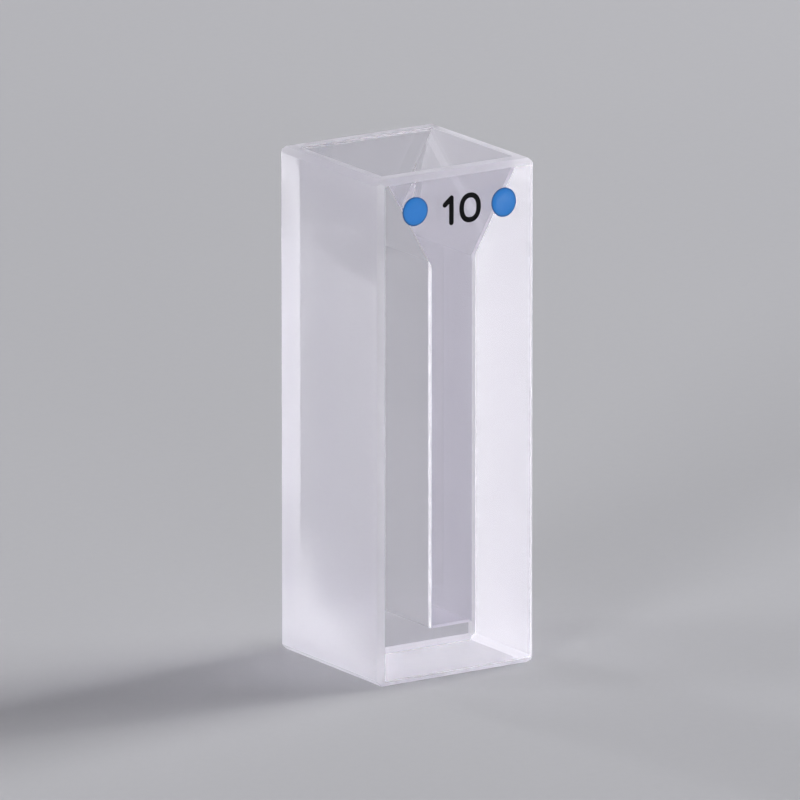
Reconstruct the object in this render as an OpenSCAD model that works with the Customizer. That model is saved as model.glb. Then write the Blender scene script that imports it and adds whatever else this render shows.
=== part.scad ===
// Semi-micro spectrophotometer cuvette.
// Five plates of fused quartz, bonded into one block: two polished windows, two thick side blocks
// that leave a narrow channel between them and slope back to a funnel mouth, and a base.
//
// The outer size suits a square cell holder. The light passes along Y, through both windows.
// Origin: centre of the foot. +Z is up, -Y is the marked front window, +X is to its right.

/* [Body] */
// Width across the two ground sides
body_w = 12.5; // [10:0.5:20]
// Depth across the two polished windows
body_d = 12.5; // [10:0.5:20]
// Height from the foot to the rim
body_h = 35; // [25:1:60]

/* [Plates] */
// Thickness of each window
window_t = 1.25; // [0.8:0.05:2]
// Thickness of the floor below the channel
floor_t = 3.5; // [1.5:0.25:8]

/* [Channel] */
// Width of the sample channel between the side blocks
channel_w = 3.25; // [2:0.25:5]
// Height of the funnel mouth above the channel
funnel_h = 6.3; // [3:0.1:10]
// Thickness of each side block at the rim
rim_t = 1; // [0.8:0.1:2.5]

/* [Edges] */
// Width of the ground chamfer along every outer edge
edge_chamfer = 0.4; // [0.1:0.05:0.6]
// Width of the small ground break round the channel floor and down the sides of each funnel slope
edge_break = 0.15; // [0.05:0.05:0.3]

/* [Hidden] */

// Length of the light path, which is the clear space between the windows
path_l = body_d - 2 * window_t;
// Thickness of a side block beside the channel
side_t = (body_w - channel_w) / 2;
// Height at which the funnel runs into the channel
funnel_z = body_h - funnel_h;
// Angle by which a funnel slope leans back from upright
funnel_lean = atan2(side_t - rim_t, funnel_h);

POLISHED = [0.86, 0.87, 0.92];
GROUND = [0.80, 0.79, 0.85];

// A rectangle about the origin with its four corners cut at 45 degrees
module chamfered_rectangle(w, h) {
    x = w / 2;
    y = h / 2;
    c = edge_chamfer;
    polygon([
        [-x + c, -y], [x - c, -y], [x, -y + c], [x, y - c],
        [x - c, y], [-x + c, y], [-x, y - c], [-x, -y + c]
    ]);
}

// The whole outside of the cuvette: a block with all twelve edges chamfered
module outer_form() {
    intersection() {
        linear_extrude(body_h)
            chamfered_rectangle(body_w, body_d);
        translate([0, 0, body_h / 2])
            rotate([90, 0, 0])
                linear_extrude(body_d, center = true)
                    chamfered_rectangle(body_w, body_h);
        translate([0, 0, body_h / 2])
            rotate([90, 0, 90])
                linear_extrude(body_w, center = true)
                    chamfered_rectangle(body_d, body_h);
    }
}

// A window plate over the full width and height, behind the front face of the cuvette
module window_plate() {
    color(POLISHED)
        intersection() {
            outer_form();
            translate([-body_w / 2, -body_d / 2, 0])
                cube([body_w, window_t, body_h]);
        }
}

// The quartz behind an upright slope face at x = 0, with the breaks along that face's two sides
module slope_slab() {
    y = path_l / 2;
    b = edge_break;
    linear_extrude(4 * body_h, center = true)
        polygon([
            [0, -y + b], [0, y - b], [-b, y],
            [-2 * body_w, y], [-2 * body_w, -y], [-b, -y]
        ]);
}

// A side block on the left of the channel: upright beside the channel, sloping back above it
module side_block() {
    color(GROUND)
        intersection() {
            outer_form();
            translate([-body_w / 2, -path_l / 2, 0])
                cube([side_t, path_l, body_h]);
            translate([-channel_w / 2, 0, funnel_z])
                rotate([0, -funnel_lean, 0])
                    slope_slab();
        }
}

module front_window() {
    window_plate();
}

module rear_window() {
    mirror([0, 1, 0])
        window_plate();
}

module left_side_block() {
    side_block();
}

module right_side_block() {
    mirror([1, 0, 0])
        side_block();
}

// The outline of the base across a span: square at the foot, both upper corners broken
module base_profile(span) {
    x = span / 2;
    b = edge_break;
    polygon([
        [-x, 0], [x, 0], [x, floor_t - b],
        [x - b, floor_t], [-x + b, floor_t], [-x, floor_t - b]
    ]);
}

// The base fills the foot of the channel, between the four upright plates
module base_block() {
    color(GROUND)
        intersection() {
            rotate([90, 0, 0])
                linear_extrude(path_l, center = true)
                    base_profile(channel_w);
            rotate([90, 0, 90])
                linear_extrude(channel_w, center = true)
                    base_profile(path_l);
        }
}

front_window();
rear_window();
left_side_block();
right_side_block();
base_block();
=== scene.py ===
"""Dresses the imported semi-micro cuvette and prints the marks on its front window.

The five quartz plates stay as the frame gives them. Each gets a quartz finish that tells its ground
faces from its polished ones by their place and direction, and that lets light cross the bonds between
the plates, as it does where they are fused together. The marks are thin crowned films of enamel on the
front window: a dot near each side and the figure 10, the light path in millimetres.

Lengths in the frame are metres. Sizes written in this file are millimetres, and MM turns them into metres.
"""

from __future__ import annotations

import logging
import math
import sys
from dataclasses import dataclass
from enum import Enum

import bpy
import numpy as np
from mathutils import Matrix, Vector


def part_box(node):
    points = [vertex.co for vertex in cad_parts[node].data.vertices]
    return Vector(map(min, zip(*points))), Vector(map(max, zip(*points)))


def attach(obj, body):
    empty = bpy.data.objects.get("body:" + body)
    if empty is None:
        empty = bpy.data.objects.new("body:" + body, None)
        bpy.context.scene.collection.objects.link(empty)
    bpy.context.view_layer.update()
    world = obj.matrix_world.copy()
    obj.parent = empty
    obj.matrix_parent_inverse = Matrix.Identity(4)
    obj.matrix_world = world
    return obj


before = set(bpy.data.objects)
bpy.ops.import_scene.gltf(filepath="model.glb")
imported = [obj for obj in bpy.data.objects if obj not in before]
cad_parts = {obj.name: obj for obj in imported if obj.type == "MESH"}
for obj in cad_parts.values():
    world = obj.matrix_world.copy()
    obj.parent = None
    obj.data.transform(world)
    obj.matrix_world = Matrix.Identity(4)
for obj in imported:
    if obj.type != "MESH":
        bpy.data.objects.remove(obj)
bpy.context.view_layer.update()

LOG = logging.getLogger("cuvette")
MM = 0.001

Colour = tuple[float, float, float]
Range = tuple[float, float]
Ends = tuple[object, object]
Shell = tuple[np.ndarray, np.ndarray, bool]
Wire = bpy.types.NodeSocket


class Plate(Enum):
    """The CAD nodes of the cuvette."""

    FRONT_WINDOW = "front_window"
    REAR_WINDOW = "rear_window"
    LEFT_BLOCK = "left_side_block"
    RIGHT_BLOCK = "right_side_block"
    BASE = "base_block"


class MarkSlot(Enum):
    """The record's material slots for the printed marks."""

    BLUE = "blue_mark"
    BLACK = "black_mark"


class Calc(Enum):
    """The operations of a Math node that the finishes use."""

    ADD = "ADD"
    SUBTRACT = "SUBTRACT"
    MULTIPLY = "MULTIPLY"
    ABOVE = "GREATER_THAN"
    BELOW = "LESS_THAN"
    SIZE = "ABSOLUTE"
    LARGER = "MAXIMUM"


class GroundFace(Enum):
    """The kinds of ground face, each with its own roughness."""

    LEFT = "Left"
    LEFT_FINE = "Left Fine"
    RIGHT = "Right"
    FOOT = "Foot"
    RIM = "Rim"
    EDGE = "Edge"


class Socket(Enum):
    """The kinds of socket on a shader node group."""

    VALUE = "NodeSocketFloat"
    VECTOR = "NodeSocketVector"


def node_points(plate: Plate) -> np.ndarray:
    """Reads the corners of a CAD node.

    Args:
        plate: The node to read.

    Returns:
        Its vertices in metres, one row of x, y, z each.
    """
    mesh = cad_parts[plate.value].data
    points = np.empty(len(mesh.vertices) * 3, dtype=np.float32)
    mesh.vertices.foreach_get("co", points)
    return points.reshape(-1, 3).astype(float)


@dataclass(frozen=True)
class PlateSizes:
    """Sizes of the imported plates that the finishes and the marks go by, in metres.

    Attributes:
        half_width: From the centre to a ground side.
        half_depth: From the centre to the outside of a window.
        height: From the foot to the rim.
        bond_depth: From the centre to the inside of a window.
        half_channel: From the centre to a wall of the channel.
        floor: Height of the channel floor.
        funnel_foot: Height at which the funnel runs into the channel.
        funnel_lean: How far a funnel slope leans back from upright, in radians.
        edge_break: Width of the small break round the channel floor and beside the slopes.
        edge_chamfer: Width of the chamfer along the outer edges.
    """

    half_width: float
    half_depth: float
    height: float
    bond_depth: float
    half_channel: float
    floor: float
    funnel_foot: float
    funnel_lean: float
    edge_break: float
    edge_chamfer: float

    @staticmethod
    def measured() -> PlateSizes:
        """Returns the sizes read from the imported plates' boxes and corners."""
        near = 0.01 * MM
        window_low, window_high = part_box(Plate.FRONT_WINDOW.value)
        block_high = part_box(Plate.LEFT_BLOCK.value)[1]
        base_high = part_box(Plate.BASE.value)[1]
        block = node_points(Plate.LEFT_BLOCK)
        base = node_points(Plate.BASE)
        window = node_points(Plate.FRONT_WINDOW)
        foot = window[np.abs(window[:, 2]) < near]
        wall = block[np.abs(block[:, 0] - block_high[0]) < near]
        rim = block[np.abs(block[:, 2] - window_high[2]) < near]
        floor = base[np.abs(base[:, 2] - base_high[2]) < near]
        funnel_foot = float(wall[:, 2].max())
        slope_run = float(block_high[0] - rim[:, 0].max())
        return PlateSizes(
            half_width=float(window_high[0]),
            half_depth=float(-window_low[1]),
            height=float(window_high[2]),
            bond_depth=float(-window_high[1]),
            half_channel=float(-block_high[0]),
            floor=float(base_high[2]),
            funnel_foot=funnel_foot,
            funnel_lean=math.atan2(slope_run, float(window_high[2]) - funnel_foot),
            edge_break=float(base_high[0] - floor[:, 0].max()),
            edge_chamfer=float(window_high[0] - foot[:, 0].max()),
        )


class Wiring:
    """Adds nodes to one node tree and joins them up."""

    def __init__(self, tree: bpy.types.NodeTree) -> None:
        """Keeps the tree that the nodes go into."""
        self.tree = tree

    def node(self, kind: str, **settings: object) -> bpy.types.Node:
        """Adds a node.

        Args:
            kind: The node's type name.
            settings: Its options, such as its operation.

        Returns:
            The new node.
        """
        made = self.tree.nodes.new(kind)
        for name, value in settings.items():
            setattr(made, name, value)
        return made

    def feed(self, socket: Wire, value: object) -> None:
        """Links an output to an input socket, or sets the socket to a plain value.

        Args:
            socket: The input socket.
            value: An output socket, a number or a tuple.
        """
        if isinstance(value, Wire):
            self.tree.links.new(value, socket)
        else:
            socket.default_value = value

    def calc(self, operation: Calc, first: object, second: object = 0.0) -> Wire:
        """Adds a Math node.

        Args:
            operation: What it works out.
            first: Its first number or output.
            second: Its second number or output.

        Returns:
            The result.
        """
        made = self.node("ShaderNodeMath", operation=operation.value)
        self.feed(made.inputs[0], first)
        self.feed(made.inputs[1], second)
        return made.outputs[0]

    def chain(self, operation: Calc, values: list[object]) -> Wire:
        """Takes several values together, two at a time.

        Args:
            operation: How two of them are put together: a product for all of, the larger for any of.
            values: The numbers or outputs.

        Returns:
            The result.
        """
        result = values[0]
        for value in values[1:]:
            result = self.calc(operation, result, value)
        return result

    def ranged(self, value: object, source: Ends, target: Ends, kind: str = "LINEAR") -> Wire:
        """Carries a value from one range to another.

        Args:
            value: The value.
            source: The ends of its range.
            target: The results at those ends.
            kind: How it runs between them.

        Returns:
            The result, which stays between the two ends.
        """
        made = self.node("ShaderNodeMapRange", clamp=True, interpolation_type=kind)
        self.feed(made.inputs["Value"], value)
        for name, number in zip(("From Min", "From Max", "To Min", "To Max"), (*source, *target)):
            self.feed(made.inputs[name], number)
        return made.outputs["Result"]

    def between(self, value: object, low: object, high: object) -> Wire:
        """Returns low where the value is 0 and high where it is 1, and what lies between them elsewhere."""
        return self.ranged(value, (0.0, 1.0), (low, high))

    def fall(self, value: object, low: float, high: float) -> Wire:
        """Returns 1 up to the low value and 0 from the high one on, and eases between them."""
        return self.ranged(value, (low, high), (1.0, 0.0), "SMOOTHSTEP")

    def blend(self, amount: object, first: object, second: object) -> Wire:
        """Mixes two colours.

        Args:
            amount: How much of the second, from 0 to 1.
            first: The colour at 0.
            second: The colour at 1.

        Returns:
            The mixed colour.
        """
        made = self.node("ShaderNodeMix", data_type="RGBA")
        self.feed(made.inputs["Factor"], amount)
        self.feed(made.inputs[6], first)
        self.feed(made.inputs[7], second)
        return made.outputs[2]

    def parts(self, vector: object) -> list[Wire]:
        """Returns a vector's x, y and z."""
        made = self.node("ShaderNodeSeparateXYZ")
        self.feed(made.inputs[0], vector)
        return list(made.outputs)

    def noise(self, place: object, per_metre: object, detail: float) -> Wire:
        """Adds a noise pattern.

        Args:
            place: The point that it is read at.
            per_metre: How many blotches fit in a metre.
            detail: How many finer layers it has.

        Returns:
            The noise, centred on a half.
        """
        made = self.node("ShaderNodeTexNoise")
        made.inputs["Detail"].default_value = detail
        self.feed(made.inputs["Vector"], place)
        self.feed(made.inputs["Scale"], per_metre)
        return made.outputs["Fac"]

    def group(self, tree: bpy.types.NodeTree, values: dict[str, object]) -> bpy.types.Node:
        """Places a node group.

        Args:
            tree: The group.
            values: The value or output for each of its inputs.

        Returns:
            The group's node.
        """
        made = self.node("ShaderNodeGroup", node_tree=tree)
        for name, value in values.items():
            self.feed(made.inputs[name], value)
        return made


class PatternGroup:
    """A shader node group that is being made: its sockets, its wiring and its two end nodes."""

    def __init__(self, name: str, inputs: dict[str, Socket], outputs: dict[str, Socket]) -> None:
        """Makes the group and its sockets.

        Args:
            name: The group's name.
            inputs: The kind of each input.
            outputs: The kind of each output.
        """
        self.tree = bpy.data.node_groups.new(name, "ShaderNodeTree")
        for label, kind in inputs.items():
            self.tree.interface.new_socket(label, in_out="INPUT", socket_type=kind.value)
        for label, kind in outputs.items():
            self.tree.interface.new_socket(label, in_out="OUTPUT", socket_type=kind.value)
        self.wiring = Wiring(self.tree)
        self.given = self.wiring.node("NodeGroupInput").outputs
        self.put = self.wiring.node("NodeGroupOutput").inputs


@dataclass(frozen=True)
class Patterns:
    """The shader node groups that the finishes share.

    Attributes:
        grain: Fine grain over broad clouds, as a value between two limits and as a height.
        ground: Where a plate's face is ground, and how rough it is there.
        bond: Where a plate is fused to its neighbour.

    MARGIN is how far a point may lie from a plane and still count as on it. BAND is the width of the finely
    ground band along the rear edge of the left side. FINE_BELOW and COARSE_ABOVE are the heights between
    which the grinding of that side turns from fine to coarse. NOISE is the part of a noise's range that is
    spread out. A face leans along an axis where its direction has more than LEANING of it, and is square to
    it where that is more than SQUARE. OVER_ONE lies between leaning along one axis and along two.
    """

    grain: bpy.types.NodeTree
    ground: bpy.types.NodeTree
    bond: bpy.types.NodeTree

    MARGIN = 0.02 * MM
    BAND = 2.65 * MM
    FINE_BELOW = 2.0 * MM
    COARSE_ABOVE = 12.0 * MM
    NOISE = (0.3, 0.7)
    LEANING = 0.55
    OVER_ONE = 1.5
    SQUARE = 0.9

    @classmethod
    def made(cls, sizes: PlateSizes) -> Patterns:
        """Returns the groups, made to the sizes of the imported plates."""
        return cls(grain=cls._grain(), ground=cls._ground(sizes), bond=cls._bond(sizes))

    @classmethod
    def _grain(cls) -> bpy.types.NodeTree:
        """Makes the grain group: a share of fine noise added to the rest of cloud noise, then spread."""
        amounts = ("Grains Per Metre", "Clouds Per Metre", "Grain Share", "Low", "High")
        group = PatternGroup(
            "grain_and_cloud",
            {"Place": Socket.VECTOR, **{amount: Socket.VALUE for amount in amounts}},
            {"Value": Socket.VALUE, "Height": Socket.VALUE},
        )
        wiring, given = group.wiring, group.given
        fine = wiring.noise(given["Place"], given["Grains Per Metre"], 1.0)
        broad = wiring.noise(given["Place"], given["Clouds Per Metre"], 2.0)
        both = wiring.between(given["Grain Share"], broad, fine)
        wiring.feed(group.put["Value"], wiring.ranged(both, cls.NOISE, (given["Low"], given["High"])))
        wiring.feed(group.put["Height"], fine)
        return group.tree

    @classmethod
    def _ground(cls, sizes: PlateSizes) -> bpy.types.NodeTree:
        """Makes the group that finds the ground faces and gives each kind its own roughness.

        A chamfer or a break is a face whose direction leans well along two axes at once. The sides and the
        rim are the faces in the outermost planes. The foot takes in the chamfers around it. The left side is
        ground finely in a band along its rear edge and towards its foot, and coarsely elsewhere. Where two
        kinds meet, the rougher one counts.

        Args:
            sizes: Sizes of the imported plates.

        Returns:
            The group.
        """
        kinds = [kind.value for kind in GroundFace]
        group = PatternGroup(
            "ground_faces",
            {"Place": Socket.VECTOR, "Facing": Socket.VECTOR, **{kind: Socket.VALUE for kind in kinds}},
            {"Ground": Socket.VALUE, "Roughness": Socket.VALUE},
        )
        wiring = group.wiring
        x, y, z = wiring.parts(group.given["Place"])
        leaning = [
            wiring.calc(Calc.ABOVE, wiring.calc(Calc.SIZE, part), cls.LEANING)
            for part in wiring.parts(group.given["Facing"])
        ]
        masks = {
            GroundFace.EDGE: wiring.calc(Calc.ABOVE, wiring.chain(Calc.ADD, leaning), cls.OVER_ONE),
            GroundFace.LEFT: wiring.calc(Calc.BELOW, x, cls.MARGIN - sizes.half_width),
            GroundFace.RIGHT: wiring.calc(Calc.ABOVE, x, sizes.half_width - cls.MARGIN),
            GroundFace.FOOT: wiring.calc(Calc.BELOW, z, sizes.edge_chamfer),
            GroundFace.RIM: wiring.calc(Calc.ABOVE, z, sizes.height - cls.MARGIN),
        }
        band = wiring.calc(Calc.ABOVE, y, sizes.half_depth - cls.BAND)
        fine = wiring.calc(Calc.LARGER, band, wiring.fall(z, cls.FINE_BELOW, cls.COARSE_ABOVE))
        grades = {face: group.given[face.value] for face in masks}
        grades[GroundFace.LEFT] = wiring.between(
            fine, group.given[GroundFace.LEFT.value], group.given[GroundFace.LEFT_FINE.value]
        )
        rough = [wiring.calc(Calc.MULTIPLY, mask, grades[face]) for face, mask in masks.items()]
        wiring.feed(group.put["Ground"], wiring.chain(Calc.LARGER, list(masks.values())))
        wiring.feed(group.put["Roughness"], wiring.chain(Calc.LARGER, rough))
        return group.tree

    @classmethod
    def _bond(cls, sizes: PlateSizes) -> bpy.types.NodeTree:
        """Makes the group that finds the bonds.

        A window is bonded over the ends of the side blocks, as far as the break beside each slope, and over
        the ends of the base, as far as its break. The base is also bonded to both walls of the channel.

        Args:
            sizes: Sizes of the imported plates.

        Returns:
            The group.
        """
        group = PatternGroup(
            "bonded_faces", {"Place": Socket.VECTOR, "Facing": Socket.VECTOR}, {"Bonded": Socket.VALUE}
        )
        wiring = group.wiring
        x, y, z = wiring.parts(group.given["Place"])
        facing_x, facing_y, _ = wiring.parts(group.given["Facing"])

        def in_plane(distance: object, plane: float, facing: object) -> Wire:
            """Returns 1 on the faces of that direction that lie in the plane."""
            off = wiring.calc(Calc.SIZE, wiring.calc(Calc.SUBTRACT, distance, plane))
            square = wiring.calc(Calc.ABOVE, wiring.calc(Calc.SIZE, facing), cls.SQUARE)
            return wiring.calc(Calc.MULTIPLY, wiring.calc(Calc.BELOW, off, cls.MARGIN), square)

        from_centre = wiring.calc(Calc.SIZE, x)
        past_wall = wiring.calc(Calc.SUBTRACT, from_centre, sizes.half_channel)
        above_foot = wiring.calc(Calc.SUBTRACT, z, sizes.funnel_foot)
        level = wiring.calc(Calc.MULTIPLY, past_wall, math.cos(sizes.funnel_lean))
        upright = wiring.calc(Calc.MULTIPLY, above_foot, math.sin(sizes.funnel_lean))
        behind_slope = wiring.calc(Calc.SUBTRACT, level, upright)
        past_break = wiring.calc(Calc.ABOVE, behind_slope, sizes.edge_break)
        block = wiring.calc(Calc.MULTIPLY, wiring.calc(Calc.ABOVE, past_wall, 0.0), past_break)
        base = wiring.calc(Calc.BELOW, z, sizes.floor - sizes.edge_break)
        base_end = wiring.calc(Calc.MULTIPLY, wiring.calc(Calc.BELOW, past_wall, 0.0), base)
        window_face = in_plane(wiring.calc(Calc.SIZE, y), sizes.bond_depth, facing_y)
        wall_face = in_plane(from_centre, sizes.half_channel, facing_x)
        on_window = wiring.calc(Calc.MULTIPLY, window_face, wiring.calc(Calc.LARGER, block, base_end))
        on_wall = wiring.calc(Calc.MULTIPLY, wall_face, base)
        wiring.feed(group.put["Bonded"], wiring.calc(Calc.LARGER, on_window, on_wall))
        return group.tree


def new_material(name: str) -> tuple[bpy.types.Material, Wiring, bpy.types.Node]:
    """Makes a material with nodes.

    Args:
        name: Its name.

    Returns:
        The material, its wiring and its Principled BSDF.
    """
    material = bpy.data.materials.new(name)
    material.use_nodes = True
    tree = material.node_tree
    tree.nodes.clear()
    wiring = Wiring(tree)
    shader = wiring.node("ShaderNodeBsdfPrincipled")
    output = wiring.node("ShaderNodeOutputMaterial")
    wiring.feed(output.inputs["Surface"], shader.outputs["BSDF"])
    return material, wiring, shader


def bumped(wiring: Wiring, height: object, depth: float) -> Wire:
    """Turns a height into a normal.

    Args:
        wiring: The material's wiring.
        height: The height, where 1 stands the full depth above 0.
        depth: The depth in metres.

    Returns:
        The normal.
    """
    bump = wiring.node("ShaderNodeBump")
    bump.inputs["Strength"].default_value = 1.0
    bump.inputs["Distance"].default_value = depth
    wiring.feed(bump.inputs["Height"], height)
    return bump.outputs["Normal"]


@dataclass(frozen=True)
class Grain:
    """Fine grain over broad clouds, as a finish uses it.

    Attributes:
        grain_mm: Size of a grain.
        cloud_mm: Size of a cloud.
        share: How much of it is grain, from 0 to 1. The rest is cloud.
        spread: Its least and its most value.
    """

    grain_mm: float
    cloud_mm: float
    share: float
    spread: Range = (0.0, 1.0)

    def lay(self, wiring: Wiring, patterns: Patterns, place: object) -> bpy.types.NodeOutputs:
        """Places the grain group in a material.

        Args:
            wiring: The material's wiring.
            patterns: The shared groups.
            place: The point that it is read at.

        Returns:
            Its value and its height.
        """
        values = {
            "Place": place,
            "Grains Per Metre": 1.0 / (self.grain_mm * MM),
            "Clouds Per Metre": 1.0 / (self.cloud_mm * MM),
            "Grain Share": self.share,
            "Low": self.spread[0],
            "High": self.spread[1],
        }
        return wiring.group(patterns.grain, values).outputs


@dataclass(frozen=True)
class QuartzFinish:
    """Fused quartz: clear where it is polished, frosted where it is ground, joined where it is bonded.

    Attributes:
        name: The material's name.
        clear: Colour of the quartz where a cloud is thin.
        cloudy: Colour of the quartz where a cloud is thick.
        polished: Least and most roughness of a polished face, from a faint wipe haze.
        left: Roughness of the ground left side.
        left_fine: Roughness of that side where it is ground finely.
        right: Roughness of the ground right side.
        foot: Roughness of the foot.
        rim: Roughness of the rim.
        edge: Roughness of the chamfers and breaks.
        frost: Grain of the ground faces, as the share of its roughness that a place has.
        haze: Faint wipe haze of the polished faces and clouds in the quartz.
        grain_depth_mm: How deep the grinding went.
    """

    name: str
    clear: Colour = (0.965, 0.95, 1.0)
    cloudy: Colour = (0.95, 0.935, 0.985)
    polished: Range = (0.0, 0.012)
    left: float = 1.0
    left_fine: float = 0.62
    right: float = 0.82
    foot: float = 1.0
    rim: float = 0.55
    edge: float = 0.6
    frost: Grain = Grain(grain_mm=0.09, cloud_mm=2.6, share=0.5, spread=(0.98, 1.02))
    haze: Grain = Grain(grain_mm=0.36, cloud_mm=5.2, share=0.2)
    grain_depth_mm: float = 0.0003

    REFRACTION = 1.458

    def material(self, patterns: Patterns) -> bpy.types.Material:
        """Builds the finish.

        Args:
            patterns: The shared groups.

        Returns:
            The material.
        """
        material, wiring, shader = new_material(self.name)
        shader.inputs["Transmission Weight"].default_value = 1.0
        shader.inputs["IOR"].default_value = self.REFRACTION
        place = wiring.node("ShaderNodeTexCoord").outputs["Object"]
        facing = wiring.node("ShaderNodeNewGeometry").outputs["True Normal"]
        grades = {face.value: getattr(self, face.name.lower()) for face in GroundFace}
        faces = wiring.group(patterns.ground, {"Place": place, "Facing": facing, **grades}).outputs
        bonded = wiring.group(patterns.bond, {"Place": place, "Facing": facing}).outputs["Bonded"]
        frost = self.frost.lay(wiring, patterns, place)
        haze = self.haze.lay(wiring, patterns, place)
        smooth = wiring.between(haze["Value"], *self.polished)
        frosted = wiring.calc(Calc.MULTIPLY, faces["Roughness"], frost["Value"])
        roughness = wiring.between(faces["Ground"], smooth, frosted)
        wiring.feed(shader.inputs["Roughness"], roughness)
        tint = wiring.blend(haze["Value"], self.clear + (1.0,), self.cloudy + (1.0,))
        wiring.feed(shader.inputs["Base Color"], tint)
        wiring.feed(shader.inputs["Alpha"], wiring.calc(Calc.SUBTRACT, 1.0, bonded))
        height = wiring.calc(Calc.MULTIPLY, faces["Ground"], frost["Height"])
        wiring.feed(shader.inputs["Normal"], bumped(wiring, height, self.grain_depth_mm * MM))
        return material


@dataclass(frozen=True)
class EnamelFinish:
    """Fired enamel in a thin film, denser at its rim and slightly uneven.

    Attributes:
        name: The material's name.
        thin: Its colour where the film is thin.
        thick: Its colour where the film is thick.
        rim: Its colour along its rim.
        cover: How much it hides at its thinnest and at its thickest.
        sheen: Grain of its roughness.
        film: Grain of its thickness.
        depth_mm: How deep that grain is.
        shine: Specular level.
    """

    name: str
    thin: Colour
    thick: Colour
    rim: Colour
    cover: Range
    sheen: Grain = Grain(grain_mm=0.07, cloud_mm=0.7, share=0.6, spread=(0.3, 0.42))
    film: Grain = Grain(grain_mm=0.07, cloud_mm=0.7, share=0.3)
    depth_mm: float = 0.002
    shine: float = 0.5

    def material(self, patterns: Patterns) -> bpy.types.Material:
        """Builds the finish.

        Args:
            patterns: The shared groups.

        Returns:
            The material.
        """
        material, wiring, shader = new_material(self.name)
        shader.inputs["Specular IOR Level"].default_value = self.shine
        place = wiring.node("ShaderNodeTexCoord").outputs["Object"]
        inset = wiring.node("ShaderNodeAttribute", attribute_name=FilmPrinter.INSET).outputs["Fac"]
        film = self.film.lay(wiring, patterns, place)
        sheen = self.sheen.lay(wiring, patterns, place)
        middle = wiring.blend(film["Value"], self.thin + (1.0,), self.thick + (1.0,))
        colour = wiring.blend(inset, self.rim + (1.0,), middle)
        wiring.feed(shader.inputs["Base Color"], colour)
        wiring.feed(shader.inputs["Roughness"], sheen["Value"])
        cover = wiring.between(film["Value"], *self.cover)
        wiring.feed(shader.inputs["Alpha"], wiring.between(inset, 1.0, cover))
        wiring.feed(shader.inputs["Normal"], bumped(wiring, film["Height"], self.depth_mm * MM))
        return material


@dataclass(frozen=True)
class TableFinish:
    """A plain pale table top, matt and faintly mottled.

    Attributes:
        name: The material's name.
        light: Its lighter colour.
        dark: Its darker colour.
        tone: Grain of its colour.
        wear: Grain of its roughness.
    """

    name: str
    light: Colour
    dark: Colour
    tone: Grain = Grain(grain_mm=2.0 / 3.0, cloud_mm=1000.0 / 9.0, share=0.25)
    wear: Grain = Grain(grain_mm=2.0 / 3.0, cloud_mm=1000.0 / 9.0, share=0.5, spread=(0.5, 0.58))

    def material(self, patterns: Patterns) -> bpy.types.Material:
        """Builds the finish.

        Args:
            patterns: The shared groups.

        Returns:
            The material.
        """
        material, wiring, shader = new_material(self.name)
        shader.inputs["Specular IOR Level"].default_value = 0.0
        place = wiring.node("ShaderNodeTexCoord").outputs["Object"]
        tone = self.tone.lay(wiring, patterns, place)
        wear = self.wear.lay(wiring, patterns, place)
        wiring.feed(
            shader.inputs["Base Color"],
            wiring.blend(tone["Value"], self.light + (1.0,), self.dark + (1.0,)),
        )
        wiring.feed(shader.inputs["Roughness"], wear["Value"])
        return material


@dataclass
class QuartzBody:
    """The five bonded plates, which stay as the frame gives them.

    Attributes:
        patterns: The shared shader groups.
    """

    patterns: Patterns

    def dress(self) -> None:
        """Puts a quartz finish on every plate: one material for the windows, one for the blocks."""
        window = QuartzFinish("window_quartz").material(self.patterns)
        block = QuartzFinish("block_quartz").material(self.patterns)
        for plate in Plate:
            finish = window if plate in (Plate.FRONT_WINDOW, Plate.REAR_WINDOW) else block
            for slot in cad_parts[plate.value].material_slots:
                slot.material = finish
            LOG.info("%s: dressed in %s", plate.value, finish.name)


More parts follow.
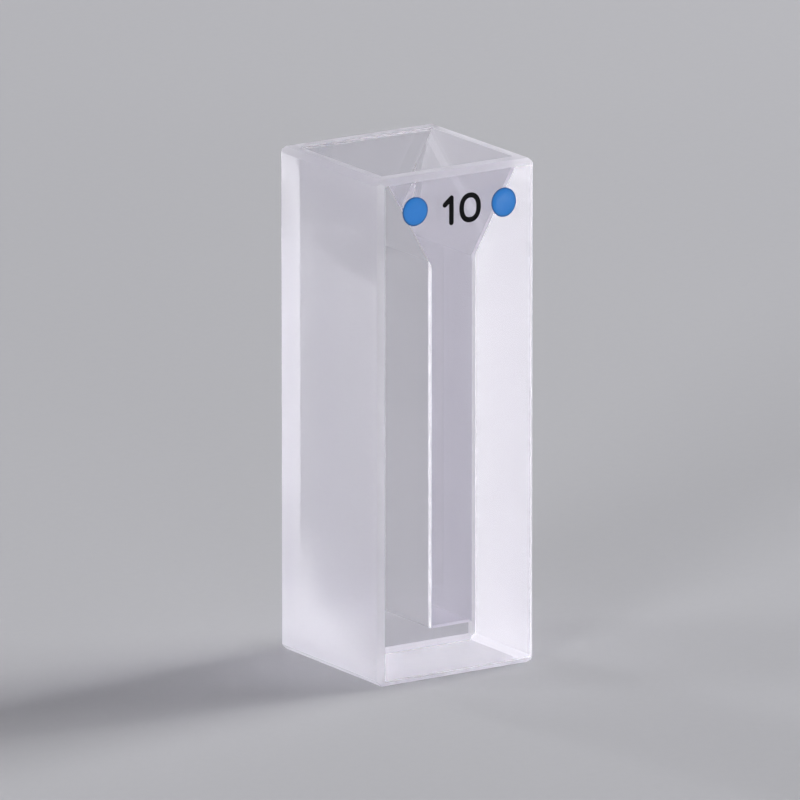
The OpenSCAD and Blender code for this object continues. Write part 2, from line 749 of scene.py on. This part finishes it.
@dataclass(frozen=True)
class FilmPrinter:
    """Lays closed films of enamel on the outside of the front window.

    Attributes:
        window_y: Where the outside of the window is, in metres.
        lift: Clear space behind a film, in millimetres.
        thickness: Thickness of a film, in millimetres.
        rim_width: Width of the denser rim of a film, in millimetres.

    INSET names the attribute that says how far inside the rim a point is. CROWN is the power of the film's
    arch. Edges that turn by more than SHARP degrees stay sharp.
    """

    window_y: float
    lift: float = 0.005
    thickness: float = 0.03
    rim_width: float = 0.16

    INSET = "inset"
    CROWN = 6.0
    SHARP = 40.0

    def crown(self, across: np.ndarray) -> np.ndarray:
        """Gives the height of a film's front.

        The front is a flat-topped arch: height = thickness * (1 - |across|^6)^(1/6), so it rises
        steeply from the rim and is nearly level from there to the middle.

        Args:
            across: Place across the film, from -1 at one rim to 1 at the other.

        Returns:
            The height above the film's back, in millimetres.
        """
        inside = np.clip(1.0 - np.abs(across) ** self.CROWN, 0.0, 1.0)
        return self.thickness * inside ** (1.0 / self.CROWN)

    def lay(
        self,
        name: str,
        shells: list[Shell],
        finish: bpy.types.Material,
        slot: MarkSlot,
    ) -> bpy.types.Object:
        """Makes one printed piece out of closed shells.

        Args:
            name: The piece's name.
            shells: For each shell its points as rows of rings in millimetres (right, up, out of the window),
                how far inside the rim each point is from 0 to 1, and whether the rows close into a loop.
            finish: The enamel.
            slot: The record's slot for it; not used.

        Returns:
            The piece, at the origin and riding on the body.
        """
        points: list[np.ndarray] = []
        insets: list[np.ndarray] = []
        faces: list[list[int]] = []
        start = 0
        for grid, inset, loop in shells:
            out = self.window_y - (self.lift + grid[..., 2]) * MM
            placed = np.stack([grid[..., 0] * MM, out, grid[..., 1] * MM], axis=-1)
            shell_faces = self._ring_faces(grid.shape[0], grid.shape[1], loop)
            if self._volume(placed.reshape(-1, 3), shell_faces) < 0.0:
                shell_faces = [face[::-1] for face in shell_faces]
            faces.extend([[corner + start for corner in face] for face in shell_faces])
            points.append(placed.reshape(-1, 3))
            insets.append(inset.reshape(-1))
            start += placed.shape[0] * placed.shape[1]
        mesh = bpy.data.meshes.new(name)
        mesh.from_pydata(np.concatenate(points).tolist(), [], faces)
        mesh.update()
        layer = mesh.attributes.new(self.INSET, "FLOAT", "POINT")
        layer.data.foreach_set("value", np.concatenate(insets).astype(np.float32))
        mesh.shade_smooth()
        mesh.set_sharp_from_angle(angle=math.radians(self.SHARP))
        mesh.materials.append(finish)
        piece = bpy.data.objects.new(name, mesh)
        bpy.context.scene.collection.objects.link(piece)
        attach(piece, "root")
        LOG.info("%s: %d faces in %s", name, len(faces), finish.name)
        return piece

    @staticmethod
    def _ring_faces(rows: int, around: int, loop: bool) -> list[list[int]]:
        """Joins rows of closed rings with quads, and closes both ends unless the rows are a loop.

        Args:
            rows: How many rings there are.
            around: How many points each ring has.
            loop: Whether the last ring joins the first.

        Returns:
            The faces as lists of point numbers.
        """
        row, step = np.meshgrid(np.arange(rows if loop else rows - 1), np.arange(around), indexing="ij")
        here, above = row * around, (row + 1) % rows * around
        after = (step + 1) % around
        quads = np.stack([here + step, here + after, above + after, above + step], axis=-1)
        faces = quads.reshape(-1, 4).tolist()
        if not loop:
            first = np.arange(around)
            faces.append(first[::-1].tolist())
            faces.append((first + (rows - 1) * around).tolist())
        return faces

    @staticmethod
    def _volume(points: np.ndarray, faces: list[list[int]]) -> float:
        """Works out the volume inside a shell, as a sum of corner products over its quads.

        Args:
            points: The shell's points.
            faces: Its faces. The two end caps are small and are left out of the sum.

        Returns:
            The volume, which is negative where the faces point inwards.
        """
        quads = points[np.array([face for face in faces if len(face) == 4])]
        quads = quads - points.mean(axis=0)
        first = np.einsum("ij,ij->i", quads[:, 0], np.cross(quads[:, 1], quads[:, 2]))
        second = np.einsum("ij,ij->i", quads[:, 0], np.cross(quads[:, 2], quads[:, 3]))
        return float((first.sum() + second.sum()) / 6.0)


@dataclass(frozen=True)
class Dot:
    """A round printed dot.

    Attributes:
        name: The piece's name.
        right: Where its centre is, to the right of the middle of the window, in millimetres.
        up: Height of its centre above the foot, in millimetres.
        radius: Its radius, in millimetres.
        turn: Angle that turns its slight unevenness, in radians.

    AROUND is how many points a ring has and RINGS how many steps rise over the front. HOLE is the share of
    the radius at which the middle is closed. OVAL and THREE_SIDED are how far the rim is uneven.
    """

    name: str
    right: float
    up: float
    radius: float
    turn: float

    AROUND = 96
    RINGS = 22
    HOLE = 0.02
    OVAL = 0.012
    THREE_SIDED = 0.007

    def shell(self, printer: FilmPrinter) -> Shell:
        """Works out the dot as rings that run from the middle of its back round its rim to its front.

        A point at angle a on a ring of share s is at radius * s * (1 + OVAL cos(2a + turn)
        + THREE_SIDED cos(3a - turn)), and its height is 0 on the back and the crown of s on the front.

        Args:
            printer: The printer, which gives the film's crown.

        Returns:
            The dot's rings, how far inside the rim each point is, and that the rows are no loop.
        """
        angle = np.linspace(0.0, 2.0 * math.pi, self.AROUND, endpoint=False)
        back = np.array([self.HOLE, 0.5, 0.94, 1.0])
        rise = np.sin(np.linspace(0.5 * math.pi, 0.0, self.RINGS, endpoint=False))[1:]
        front = np.append(rise, self.HOLE)
        share = np.concatenate([back, front])
        height = np.concatenate([np.zeros_like(back), printer.crown(front)])
        oval = self.OVAL * np.cos(2.0 * angle + self.turn)
        uneven = 1.0 + oval + self.THREE_SIDED * np.cos(3.0 * angle - self.turn)
        reach = self.radius * share[:, None] * uneven[None, :]
        right, up = self.right + reach * np.cos(angle), self.up + reach * np.sin(angle)
        points = np.stack([right, up, np.broadcast_to(height[:, None], reach.shape)], axis=-1)
        inset = np.clip((1.0 - share) * self.radius / printer.rim_width, 0.0, 1.0)
        return points, np.broadcast_to(inset[:, None], reach.shape).copy(), False


@dataclass(frozen=True)
class Stroke:
    """A pen stroke of even width with round ends, or a closed loop of it.

    Attributes:
        path: The middle of the stroke in millimetres (right, up), one row a point.
        width: Its width in millimetres.
        loop: Whether the path closes on itself.

    AROUND is how many points a section has, and END_STEPS how many sections a round end has. TIP is how much
    of the half round is built before its end is closed. A sine up to LEVEL is taken as on the back.
    """

    path: np.ndarray
    width: float
    loop: bool = False

    AROUND = 28
    END_STEPS = 12
    TIP = 0.9995
    LEVEL = 1e-9

    def shell(self, printer: FilmPrinter) -> Shell:
        """Carries the film's section along the path.

        The section at a point goes across * half width to the side of the path, where across is the cosine
        of an angle round the section. It lies on the crown for the first half turn and on the back for
        the second. At a round end the half width shrinks as the square root of 1 - share^2, with share
        the part of a half width by which the point has passed the end of the straight stroke.

        Args:
            printer: The printer, which gives the film's crown.

        Returns:
            The stroke's rings, how far inside the rim each point is, and whether the rows close.
        """
        half = 0.5 * self.width
        middle, narrowing = self.path, np.ones(len(self.path))
        if not self.loop:
            middle, narrowing = self._with_round_ends(half)
        along = np.gradient(middle, axis=0)
        if self.loop:
            along = np.roll(middle, -1, axis=0) - np.roll(middle, 1, axis=0)
        along /= np.linalg.norm(along, axis=1, keepdims=True)
        side = np.stack([along[:, 1], -along[:, 0]], axis=-1)
        turn = np.linspace(0.0, 2.0 * math.pi, self.AROUND, endpoint=False)
        across = np.cos(turn)
        height = np.where(np.sin(turn) > self.LEVEL, printer.crown(across), 0.0)
        reach = half * narrowing[:, None] * across[None, :]
        flat = middle[:, None, :] + reach[..., None] * side[:, None, :]
        rise = height[None, :] * narrowing[:, None] ** 0.5
        points = np.concatenate([flat, rise[..., None]], axis=-1)
        inset = (1.0 - np.abs(across))[None, :] * narrowing[:, None] * half / printer.rim_width
        return points, np.clip(inset, 0.0, 1.0), self.loop

    def _with_round_ends(self, half: float) -> tuple[np.ndarray, np.ndarray]:
        """Adds a half round to both ends of the path.

        Args:
            half: Half the stroke's width.

        Returns:
            The longer path, and at each of its points the share of the half width that is left.
        """
        share = np.sin(np.linspace(0.0, 0.5 * math.pi, self.END_STEPS))[1:]
        share[-1] = self.TIP
        start, end = self.path[0] - self.path[1], self.path[-1] - self.path[-2]
        start, end = start / np.linalg.norm(start), end / np.linalg.norm(end)
        before = self.path[0] + start * half * share[::-1, None]
        after = self.path[-1] + end * half * share[:, None]
        left = np.sqrt(1.0 - share**2)
        narrowing = np.concatenate([left[::-1], np.ones(len(self.path)), left])
        return np.concatenate([before, self.path, after]), narrowing


@dataclass
class PathFigure:
    """The figure 10 between the dots: the light path in millimetres.

    Attributes:
        name: The piece's name.
        right: Where its middle is, to the right of the middle of the window, in millimetres.
        up: Height of its middle above the foot, in millimetres.
        tall: Height of the figures, in millimetres.
        stroke: Width of the pen stroke, in millimetres.
        spacing: From the stem of the 1 to the middle of the 0, in millimetres.
        wide: Width of the 0, in millimetres.

    FLAG is the run of the flag of the 1 from the top of its stem, and FULLNESS the power that rounds out
    the corners of the 0. STEPS and AROUND are how many points a straight stroke and the 0 have.
    """

    name: str = "path_figure"
    right: float = 0.2
    up: float = 32.3
    tall: float = 2.05
    stroke: float = 0.36
    spacing: float = 1.5
    wide: float = 1.72

    FLAG = (-0.52, -0.42)
    FULLNESS = 0.9
    STEPS = 24
    AROUND = 96

    def shells(self, printer: FilmPrinter) -> list[Shell]:
        """Works out the strokes of both figures.

        The 1 is a straight stem with a straight flag down to its left. The 0 is an oval in which
        right = a cos t and up = b sin t, both raised to the power FULLNESS for slightly fuller corners.

        Args:
            printer: The printer.

        Returns:
            The shells of the stem, the flag and the 0.
        """
        reach = 0.5 * (self.tall - self.stroke)
        stem_right = self.right - 0.5 * self.spacing
        zero_right = self.right + 0.5 * self.spacing
        top = np.array([stem_right, self.up + reach])
        foot = np.array([stem_right, self.up - reach])
        tip = top + np.array(self.FLAG)
        share = np.linspace(0.0, 1.0, self.STEPS)[:, None]
        turn = np.linspace(0.0, 2.0 * math.pi, self.AROUND, endpoint=False)
        cosine, sine = np.cos(turn), np.sin(turn)
        wide = np.sign(cosine) * np.abs(cosine) ** self.FULLNESS
        tall = np.sign(sine) * np.abs(sine) ** self.FULLNESS
        across = 0.5 * (self.wide - self.stroke)
        zero = np.stack([zero_right + across * wide, self.up + reach * tall], axis=-1)
        strokes = [
            Stroke(top + share * (foot - top), self.stroke),
            Stroke(tip + share * (top - tip), self.stroke),
            Stroke(zero, self.stroke, loop=True),
        ]
        return [stroke.shell(printer) for stroke in strokes]


@dataclass
class FrontMarks:
    """The enamel marks near the top of the front window.

    Attributes:
        sizes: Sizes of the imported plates.
        patterns: The shared shader groups.
        left_dot: How far the left dot lies in from the left side and below the rim, in millimetres.
        right_dot: How far the right dot lies in from the right side and below the rim, in millimetres.
        figure_drop: How far the middle of the figure lies below the rim, in millimetres.
    """

    sizes: PlateSizes
    patterns: Patterns
    left_dot: tuple[float, float] = (2.8, 2.4)
    right_dot: tuple[float, float] = (2.6, 2.7)
    figure_drop: float = 2.7

    def build(self) -> None:
        """Prints the two dots and the figure between them."""
        printer = FilmPrinter(window_y=-self.sizes.half_depth)
        blue = EnamelFinish(
            "blue_enamel",
            thin=(0.006, 0.26, 0.78),
            thick=(0.003, 0.22, 0.7),
            rim=(0.002, 0.05, 0.19),
            cover=(0.7, 0.82),
        ).material(self.patterns)
        black = EnamelFinish(
            "black_enamel",
            thin=(0.005, 0.005, 0.006),
            thick=(0.002, 0.002, 0.0025),
            rim=(0.003, 0.003, 0.004),
            cover=(1.0, 1.0),
            sheen=Grain(grain_mm=0.07, cloud_mm=0.7, share=0.6, spread=(0.45, 0.6)),
            shine=0.08,
        ).material(self.patterns)
        side = self.sizes.half_width / MM
        rim = self.sizes.height / MM
        dots = (
            Dot("left_dot", -side + self.left_dot[0], rim - self.left_dot[1], radius=1.0, turn=0.6),
            Dot("right_dot", side - self.right_dot[0], rim - self.right_dot[1], radius=1.0, turn=2.3),
        )
        for dot in dots:
            printer.lay(dot.name, [dot.shell(printer)], blue, MarkSlot.BLUE)
        figure = PathFigure(up=rim - self.figure_drop)
        printer.lay(figure.name, figure.shells(printer), black, MarkSlot.BLACK)


@dataclass(frozen=True)
class Lamp:
    """A soft rectangular studio lamp that is aimed at the cuvette.

    Attributes:
        name: Its name.
        azimuth: Where it stands round the cuvette in degrees, with 0 in front and 90 to the right.
        elevation: How high it stands, in degrees.
        watts: Its power.
        wide: Its width in metres.
        tall: Its height in metres.
    """

    name: str
    azimuth: float
    elevation: float
    watts: float
    wide: float = 0.55
    tall: float = 0.55


def direction(azimuth: float, elevation: float) -> Vector:
    """Gives the direction from the cuvette to a point round it.

    Args:
        azimuth: Degrees round the cuvette, with 0 in front and 90 to the right.
        elevation: Degrees above the horizon.

    Returns:
        The direction, with a length of 1.
    """
    turn, rise = math.radians(azimuth), math.radians(elevation)
    return Vector((math.sin(turn) * math.cos(rise), -math.cos(turn) * math.cos(rise), math.sin(rise)))


@dataclass
class Studio:
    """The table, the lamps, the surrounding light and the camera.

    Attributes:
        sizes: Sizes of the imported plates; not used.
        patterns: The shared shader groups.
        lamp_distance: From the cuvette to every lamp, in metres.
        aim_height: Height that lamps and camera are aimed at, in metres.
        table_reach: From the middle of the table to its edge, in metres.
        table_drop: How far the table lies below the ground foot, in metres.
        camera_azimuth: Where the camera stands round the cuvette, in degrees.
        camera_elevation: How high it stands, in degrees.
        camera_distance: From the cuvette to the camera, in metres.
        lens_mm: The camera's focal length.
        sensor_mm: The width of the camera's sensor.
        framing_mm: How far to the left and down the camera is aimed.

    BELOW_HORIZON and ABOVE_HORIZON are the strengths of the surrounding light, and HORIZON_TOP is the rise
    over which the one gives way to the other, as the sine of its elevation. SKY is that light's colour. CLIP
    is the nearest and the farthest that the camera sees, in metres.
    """

    sizes: PlateSizes
    patterns: Patterns
    lamp_distance: float = 2.0
    aim_height: float = 0.018
    table_reach: float = 6.0
    table_drop: float = 0.00004
    camera_azimuth: float = -33.25
    camera_elevation: float = 14.29
    camera_distance: float = 1.2
    lens_mm: float = 802.035
    sensor_mm: float = 36.0
    framing_mm: tuple[float, float] = (0.462, 0.19)

    BELOW_HORIZON = 0.42
    ABOVE_HORIZON = 0.15
    HORIZON_TOP = 0.06
    SKY = (0.96, 0.96, 1.0, 1.0)
    CLIP = (0.01, 10.0)
    LAMPS = (
        Lamp("right_key", 75.0, 14.0, 23.5),
        Lamp("right_side", 90.0, 14.0, 19.5),
        Lamp("right_high", 90.0, 30.0, 21.5),
        Lamp("front_right", 50.0, 4.0, 4.2),
        Lamp("front_low", -20.0, 4.0, 8.5),
        Lamp("front_left", -60.0, 14.0, 17.0),
        Lamp("left_side", -120.0, 14.0, 11.0),
        Lamp("rear_left", -165.0, 14.0, 3.0),
        Lamp("rear_line", -170.0, 6.0, 15.5, wide=0.15, tall=0.5),
        Lamp("rear_right", 165.0, 4.0, 2.0),
    )

    def build(self) -> None:
        """Sets up the stage round the cuvette."""
        self._lay_table()
        for lamp in self.LAMPS:
            self._hang(lamp)
        self._surround()
        self._stand_camera()
        self._let_light_through()

    def _lay_table(self) -> None:
        """Lays a level table just under the foot, so that the ground foot stays clear of it."""
        reach, drop = self.table_reach, -self.table_drop
        mesh = bpy.data.meshes.new("table")
        corners = [(-reach, -reach, drop), (reach, -reach, drop), (reach, reach, drop), (-reach, reach, drop)]
        mesh.from_pydata(corners, [], [(0, 1, 2, 3)])
        finish = TableFinish("table_top", (0.49, 0.49, 0.515), (0.47, 0.47, 0.495))
        mesh.materials.append(finish.material(self.patterns))
        table = bpy.data.objects.new("table", mesh)
        bpy.context.scene.collection.objects.link(table)
        LOG.info("table: %.1f m across", 2.0 * reach)

    def _hang(self, lamp: Lamp) -> None:
        """Hangs a lamp at its place, hidden from the camera, and aims it at the cuvette.

        Args:
            lamp: Where it stands, its size and its power.
        """
        light = bpy.data.lights.new(lamp.name, "AREA")
        light.shape = "RECTANGLE"
        light.size, light.size_y = lamp.wide, lamp.tall
        light.energy = lamp.watts
        hung = bpy.data.objects.new(lamp.name, light)
        bpy.context.scene.collection.objects.link(hung)
        hung.location = direction(lamp.azimuth, lamp.elevation) * self.lamp_distance
        aim = Vector((0.0, 0.0, self.aim_height)) - hung.location
        hung.rotation_mode = "QUATERNION"
        hung.rotation_quaternion = aim.to_track_quat("-Z", "Y")
        hung.visible_camera = False
        LOG.info("%s: %.1f W at %.0f, %.0f degrees", lamp.name, lamp.watts, lamp.azimuth, lamp.elevation)

    def _surround(self) -> None:
        """Fills in from all round: as pale as the table below the horizon, and dimmer above it."""
        world = bpy.data.worlds.new("studio")
        bpy.context.scene.world = world
        world.use_nodes = True
        tree = world.node_tree
        tree.nodes.clear()
        wiring = Wiring(tree)
        sky = wiring.node("ShaderNodeBackground")
        sky.inputs["Color"].default_value = self.SKY
        rise = wiring.parts(wiring.node("ShaderNodeTexCoord").outputs["Generated"])[2]
        low = wiring.fall(rise, 0.0, self.HORIZON_TOP)
        wiring.feed(sky.inputs["Strength"], wiring.between(low, self.ABOVE_HORIZON, self.BELOW_HORIZON))
        output = wiring.node("ShaderNodeOutputWorld")
        wiring.feed(output.inputs["Surface"], sky.outputs["Background"])

    def _stand_camera(self) -> None:
        """Stands a long-lens camera in front and to the left, a little above the rim."""
        back = direction(self.camera_azimuth, self.camera_elevation)
        turn = math.radians(self.camera_azimuth)
        right = Vector((math.cos(turn), math.sin(turn), 0.0))
        above = back.cross(right)
        lens = bpy.data.cameras.new("camera")
        lens.lens, lens.sensor_width = self.lens_mm, self.sensor_mm
        lens.clip_start, lens.clip_end = self.CLIP
        camera = bpy.data.objects.new("camera", lens)
        bpy.context.scene.collection.objects.link(camera)
        left, down = self.framing_mm
        aim = Vector((0.0, 0.0, self.aim_height)) - right * left * MM - above * down * MM
        camera.location = aim + back * self.camera_distance
        camera.rotation_mode = "QUATERNION"
        camera.rotation_quaternion = (-back).to_track_quat("-Z", "Y")
        bpy.context.scene.camera = camera

    @staticmethod
    def _let_light_through() -> None:
        """Lets light cross the many faces of the quartz, and keeps colours as they are written."""
        scene = bpy.context.scene
        scene.view_settings.view_transform = "Standard"
        scene.cycles.max_bounces = 24
        scene.cycles.transmission_bounces = 24
        scene.cycles.glossy_bounces = 12
        scene.cycles.transparent_max_bounces = 32


def main() -> None:
    """Builds the cuvette and its stage, one class after another."""
    logging.basicConfig(level=logging.INFO, format="%(name)s: %(message)s", stream=sys.stdout)
    sizes = PlateSizes.measured()
    LOG.info("sizes: %s", sizes)
    patterns = Patterns.made(sizes)
    QuartzBody(patterns).dress()
    FrontMarks(sizes, patterns).build()
    Studio(sizes, patterns).build()


if __name__ == "__main__":
    main()
